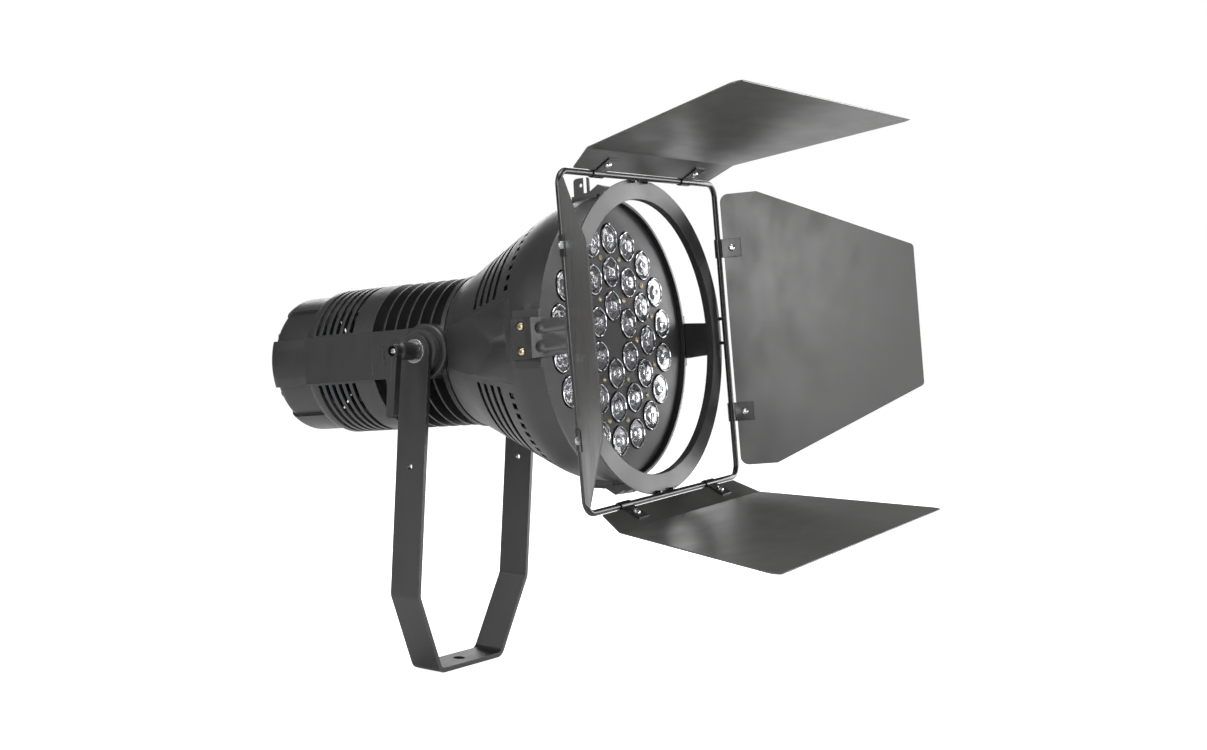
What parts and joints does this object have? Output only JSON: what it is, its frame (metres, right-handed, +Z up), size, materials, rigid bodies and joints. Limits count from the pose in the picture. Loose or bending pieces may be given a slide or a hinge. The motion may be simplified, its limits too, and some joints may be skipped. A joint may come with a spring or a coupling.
{
  "type": "par can light",
  "caption": "Stage par light with a finned round body, a multi-lens front, a turning square frame with folding shutters, and a bent-bar yoke with two clamping levers.",
  "frame": {"origin": "centre of the clamp hole on the underside of the yoke's flat foot", "axes": "+Z up through the yoke to the tilt axis, -Y forward, the way the light shines when level, X along the tilt axis"},
  "size_m": [0.5585, 0.6807, 0.5955],
  "materials": {
    "body_coat": "satin charcoal powder coat, fine grain",
    "yoke_coat": "satin charcoal powder coat",
    "plate_coat": "matt charcoal",
    "leaf_sheet": "satin dark grey baked enamel on sheet steel",
    "door_sheet": "satin dark grey enamel",
    "black_steel": "semi-gloss black enamel",
    "lever_black": "fine-textured black",
    "screw_steel": "bright zinc or chrome plate",
    "brass_screw": "yellow-passivated steel",
    "lens_clear": "clear moulded optic",
    "holder_bright": "bright moulded holder",
    "board_white": "white solder mask on aluminium",
    "led_phosphor": "phosphor yellow",
    "bare_aluminium": "as cut",
    "black_plastic": "moulded",
    "friction_fibre": "matt",
    "circuit_board": "green solder mask",
    "display_red": "smoked red",
    "button_grey": "moulded",
    "power_plastic": "moulded blue"
  },
  "bodies": {
    "yoke": {"yoke": "yoke_coat"},
    "head": {"rear_cap": "body_coat", "rear_housing": "body_coat", "heat_sink": "body_coat", "flare_housing": "body_coat", "lens_plate": "plate_coat", "lenses": "lens_clear", "lens_holders": "holder_bright", "lens_plate_screws": "brass_screw", "led_board": "board_white", "led_chips": "led_phosphor", "board_heat_sink": "bare_aluminium", "fan_frame": "black_plastic", "power_supply": "circuit_board", "control_board": "circuit_board", "display_window": "display_red", "power_inlet": "power_plastic", "power_outlet": "power_plastic", "signal_inlet": "black_plastic", "signal_outlet": "black_plastic", "rear_screws": "screw_steel", "friction_disc_left": "friction_fibre", "friction_disc_right": "friction_fibre", "bracket_left": "body_coat", "bracket_right": "body_coat", "bracket_bottom": "body_coat", "bracket_top": "body_coat", "bracket_screws": "brass_screw"},
    "fan": {"fan_rotor": "black_plastic"},
    "door": {"door_ring": "door_sheet", "door_frame": "black_steel"},
    "leaf_right": {"leaf_right": "leaf_sheet", "hinge_clips_right": "black_steel", "clip_screws_right": "screw_steel"},
    "leaf_top": {"leaf_top": "leaf_sheet", "hinge_clips_top": "black_steel", "clip_screws_top": "screw_steel"},
    "leaf_left": {"leaf_left": "leaf_sheet", "hinge_clips_left": "black_steel", "clip_screws_left": "screw_steel"},
    "leaf_bottom": {"leaf_bottom": "leaf_sheet", "hinge_clips_bottom": "black_steel", "clip_screws_bottom": "screw_steel"},
    "lever_core_left": {"lever_insert_left": "screw_steel", "lever_screw_left": "screw_steel", "pivot_washer_left": "screw_steel", "lever_spring_left": "screw_steel"},
    "lever_left": {"lever_handle_left": "lever_black"},
    "lever_core_right": {"lever_insert_right": "screw_steel", "lever_screw_right": "screw_steel", "pivot_washer_right": "screw_steel", "lever_spring_right": "screw_steel"},
    "lever_right": {"lever_handle_right": "lever_black"},
    "menu_button_1": {"menu_button_1": "button_grey"},
    "menu_button_2": {"menu_button_2": "button_grey"},
    "menu_button_3": {"menu_button_3": "button_grey"},
    "menu_button_4": {"menu_button_4": "button_grey"}
  },
  "joints": [
    {"name": "head_tilt", "type": "hinge", "parent": "yoke", "child": "head", "pos_m": [0, 0, 0.333], "axis": [-1, 0, 0], "range_deg": [-32, 103]},
    {"name": "fan_spin", "type": "hinge", "parent": "head", "child": "fan", "pos_m": [0, 0.10719, 0.31984], "axis": [0, -0.9925, 0.1219], "continuous": true},
    {"name": "door_turn", "type": "hinge", "parent": "head", "child": "door", "pos_m": [0, -0.21528, 0.35943], "axis": [0, -0.9925, 0.1219], "continuous": true},
    {"name": "right_leaf_hinge", "type": "hinge", "parent": "door", "child": "leaf_right", "pos_m": [0.15669, -0.21906, 0.36803], "axis": [-0.0515, 0.1217, 0.9912], "range_deg": [-46, 69]},
    {"name": "top_leaf_hinge", "type": "hinge", "parent": "door", "child": "leaf_top", "pos_m": [-0.00808, -0.20095, 0.51554], "axis": [-0.9987, -0.0063, -0.0511], "range_deg": [-33.5, 81.5]},
    {"name": "left_leaf_hinge", "type": "hinge", "parent": "door", "child": "leaf_left", "pos_m": [-0.15669, -0.22103, 0.352], "axis": [0.0515, -0.1217, -0.9912], "range_deg": [-78, 37]},
    {"name": "bottom_leaf_hinge", "type": "hinge", "parent": "door", "child": "leaf_bottom", "pos_m": [0.00808, -0.23914, 0.20449], "axis": [0.9987, 0.0063, 0.0511], "range_deg": [-34, 81]},
    {"name": "left_lever_turn", "type": "hinge", "parent": "yoke", "child": "lever_core_left", "pos_m": [-0.1, 0, 0.333], "axis": [-1, 0, 0], "range_deg": [-90, 90]},
    {"name": "left_lever_pull", "type": "slide", "parent": "lever_core_left", "child": "lever_left", "axis": [-1, 0, 0], "range_m": [0, 0.0035], "stiffness_N_per_m": 900, "springref_m": -0.004, "deforming": ["lever_spring_left"]},
    {"name": "right_lever_turn", "type": "hinge", "parent": "yoke", "child": "lever_core_right", "pos_m": [0.1, 0, 0.333], "axis": [1, 0, 0], "range_deg": [-90, 90]},
    {"name": "right_lever_pull", "type": "slide", "parent": "lever_core_right", "child": "lever_right", "axis": [1, 0, 0], "range_m": [0, 0.0035], "stiffness_N_per_m": 900, "springref_m": -0.004, "deforming": ["lever_spring_right"]},
    {"name": "menu_button_1_press", "type": "slide", "parent": "head", "child": "menu_button_1", "axis": [0, -0.9925, 0.1219], "range_m": [0, 0.0008], "stiffness_N_per_m": 1500, "springref_m": -0.0006},
    {"name": "menu_button_2_press", "type": "slide", "parent": "head", "child": "menu_button_2", "axis": [0, -0.9925, 0.1219], "range_m": [0, 0.0008], "stiffness_N_per_m": 1500, "springref_m": -0.0006},
    {"name": "menu_button_3_press", "type": "slide", "parent": "head", "child": "menu_button_3", "axis": [0, -0.9925, 0.1219], "range_m": [0, 0.0008], "stiffness_N_per_m": 1500, "springref_m": -0.0006},
    {"name": "menu_button_4_press", "type": "slide", "parent": "head", "child": "menu_button_4", "axis": [0, -0.9925, 0.1219], "range_m": [0, 0.0008], "stiffness_N_per_m": 1500, "springref_m": -0.0006}
  ]
}
